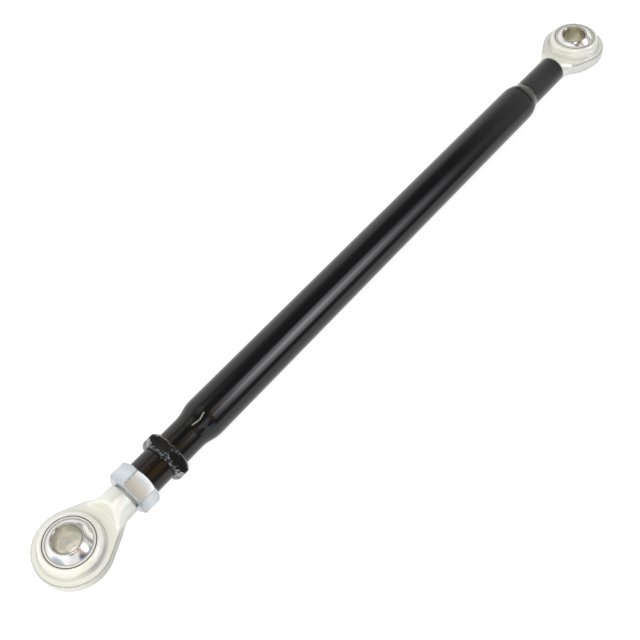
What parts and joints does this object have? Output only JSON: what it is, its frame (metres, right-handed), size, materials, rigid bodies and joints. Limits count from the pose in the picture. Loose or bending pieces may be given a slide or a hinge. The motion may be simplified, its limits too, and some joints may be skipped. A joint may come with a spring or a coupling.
{
  "type": "stabilizer link",
  "caption": "Length-adjustable tube link with a ball eye screwed into each end, a lock nut and a hexagon ring for turning the tube; it holds a tractor's lower link sideways.",
  "frame": {"origin": "centre of the near ball, the one beside the lock nut", "axes": "+X along the tube to the far eye; +Z square to the near eye's flat faces; the bores' axes lean a few degrees from +Z, as the balls lie"},
  "size_m": [0.8859, 0.0716, 0.0488],
  "materials": {
    "black_paint": "gloss black paint",
    "eye_zinc": "bright zinc plate over a forged skin",
    "nut_zinc": "bluish zinc plate",
    "polished_ball": "ground and polished steel"
  },
  "bodies": {
    "near_rod_end": {"near_rod_end": "eye_zinc"},
    "near_ball": {"near_ball": "polished_ball"},
    "lock_nut": {"lock_nut": "nut_zinc"},
    "tube": {"tube": "black_paint", "hex_collar": "black_paint"},
    "far_rod_end": {"far_rod_end": "eye_zinc"},
    "far_ball": {"far_ball": "polished_ball"}
  },
  "joints": [
    {"name": "near_ball_tilt", "type": "hinge", "parent": "near_rod_end", "child": "near_ball", "pos_m": [0, 0, 0], "axis": [1, 0, 0], "range_deg": [-9, 19]},
    {"name": "nut_travel", "type": "slide", "parent": "near_rod_end", "child": "lock_nut", "axis": [1, 0, 0], "range_m": [0, 0.048]},
    {"name": "tube_turn", "type": "hinge", "parent": "lock_nut", "child": "tube", "pos_m": [0.0831, 0, 0], "axis": [1, 0, 0], "range_deg": [0, 5760]},
    {"name": "far_eye_travel", "type": "slide", "parent": "lock_nut", "child": "far_rod_end", "axis": [1, 0, 0], "range_m": [0, 0.048]},
    {"name": "far_ball_tilt", "type": "hinge", "parent": "far_rod_end", "child": "far_ball", "pos_m": [0.8149, 0, 0], "axis": [0, -0.9942, 0.108], "range_deg": [-18.8, 9.2]}
  ],
  "couplings": [
    {"joint": "nut_travel", "follows": "tube_turn", "m_per_rad": 0.00047746},
    {"joint": "far_eye_travel", "follows": "tube_turn", "m_per_rad": 0.00047746}
  ]
}
